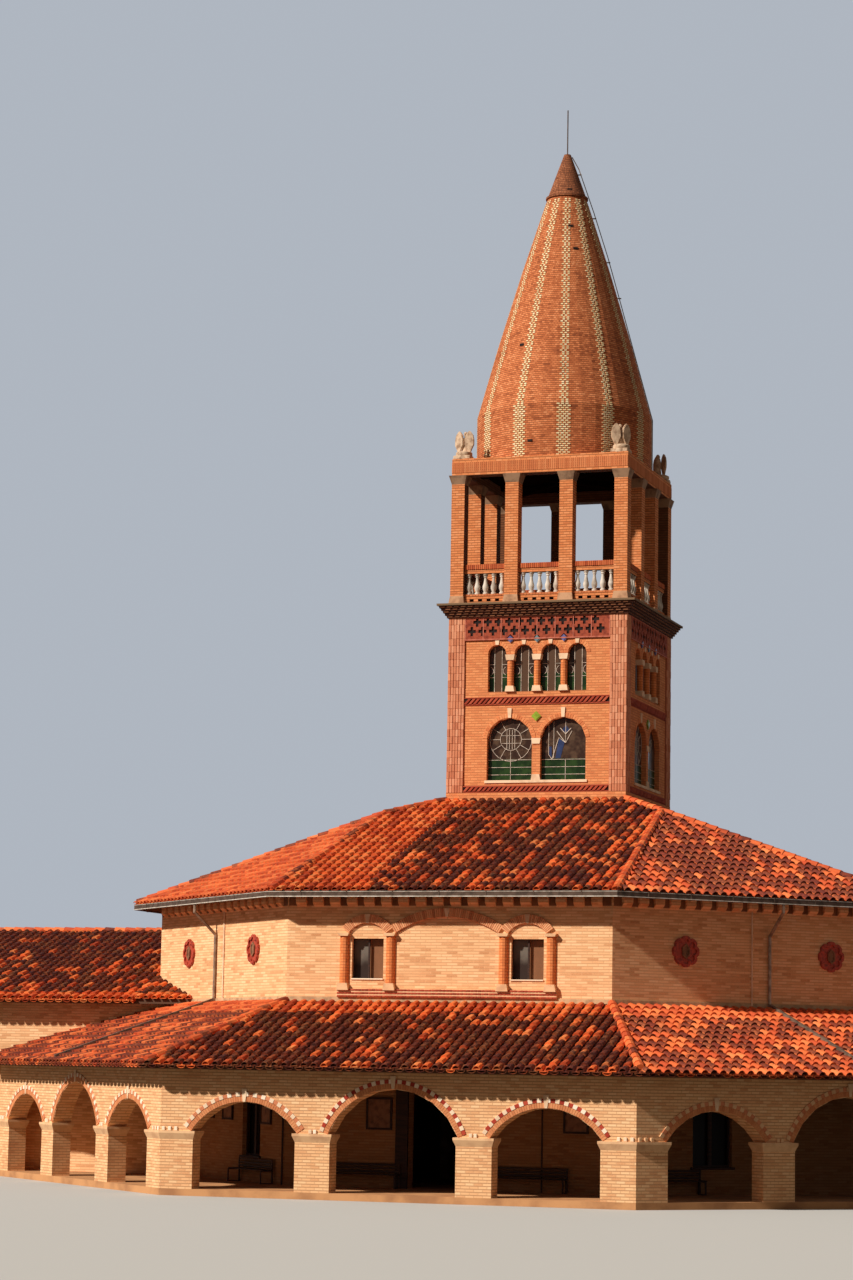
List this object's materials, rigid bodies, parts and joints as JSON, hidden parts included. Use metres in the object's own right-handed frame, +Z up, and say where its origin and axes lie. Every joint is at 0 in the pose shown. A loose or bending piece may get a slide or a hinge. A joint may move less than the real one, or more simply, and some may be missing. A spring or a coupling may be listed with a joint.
{
  "type": "octagonal church with arcade and bell tower",
  "caption": "Octagonal brick church with an arcaded walk, tiled roofs and a square bell tower carrying an open belfry and a round brick spire.",
  "frame": {"origin": "on the ground under the spire, at the centre of the octagon", "axes": "+Z up; the front arcade faces -Y; +X to the right seen from the front, the wing on -X"},
  "size_m": [39.3441, 36.0882, 37.67],
  "materials": {
    "buff_brick": "long buff bricks, matte",
    "orange_brick": "orange-red bricks, matte",
    "roof_tile": "fired clay barrel tiles",
    "terracotta": "moulded terracotta",
    "cream_stone": "cream cast stone",
    "impost_stone": "grey-pink cast stone",
    "floor_stone": "stone slabs",
    "leaded_glass": "dark leaded glass",
    "zinc": "galvanised sheet",
    "plaster": "plain render",
    "timber": "dark stained timber"
  },
  "bodies": {
    "root": {"arcade_arch_rings": "orange_brick", "arcade_hips": "roof_tile", "arcade_keystones": "cream_stone", "arcade_piers": "buff_brick", "arcade_roof_cardinal": "roof_tile", "arcade_roof_diagonal": "roof_tile", "arcade_walls_cardinal": "buff_brick", "arcade_walls_diagonal": "buff_brick", "balusters": "cream_stone", "belfry_ceiling": "plaster", "belfry_lintels": "orange_brick", "belfry_pier_caps": "cream_stone", "belfry_pier_feet": "cream_stone", "belfry_piers": "orange_brick", "belfry_plinths": "orange_brick", "belfry_rails": "orange_brick", "benches": "timber", "colonnette_blocks": "cream_stone", "corner_figures": "cream_stone", "crossing_arches_front_back": "plaster", "crossing_arches_sides": "plaster", "crossing_piers": "plaster", "door_surround": "timber", "downspouts": "zinc", "floor_slab": "floor_stone", "gutters": "zinc", "impost_caps": "impost_stone", "lightning_rod": "zinc", "main_roof_corners": "roof_tile", "main_roof_front_back": "roof_tile", "main_roof_hips": "roof_tile", "main_roof_sides": "roof_tile", "medallions": "terracotta", "nave_glass": "leaded_glass", "nave_walls_cardinal": "buff_brick", "nave_walls_diagonal": "buff_brick", "sill_bands": "orange_brick", "spire": "orange_brick", "spire_tip": "terracotta", "string_courses": "orange_brick", "tower_colonnettes": "orange_brick", "tower_cornice": "orange_brick", "tower_frieze": "terracotta", "tower_glass": "leaded_glass", "tower_pilasters": "orange_brick", "tower_walls_front_back": "orange_brick", "tower_walls_sides": "orange_brick", "tower_window_stones": "cream_stone", "window_arches": "buff_brick", "window_capitals": "cream_stone", "window_columns": "orange_brick", "window_keystones": "cream_stone", "wing_end_wall": "buff_brick", "wing_floor": "floor_stone", "wing_ridge": "roof_tile", "wing_roof": "roof_tile", "wing_walls": "buff_brick"}
  },
  "joints": []
}
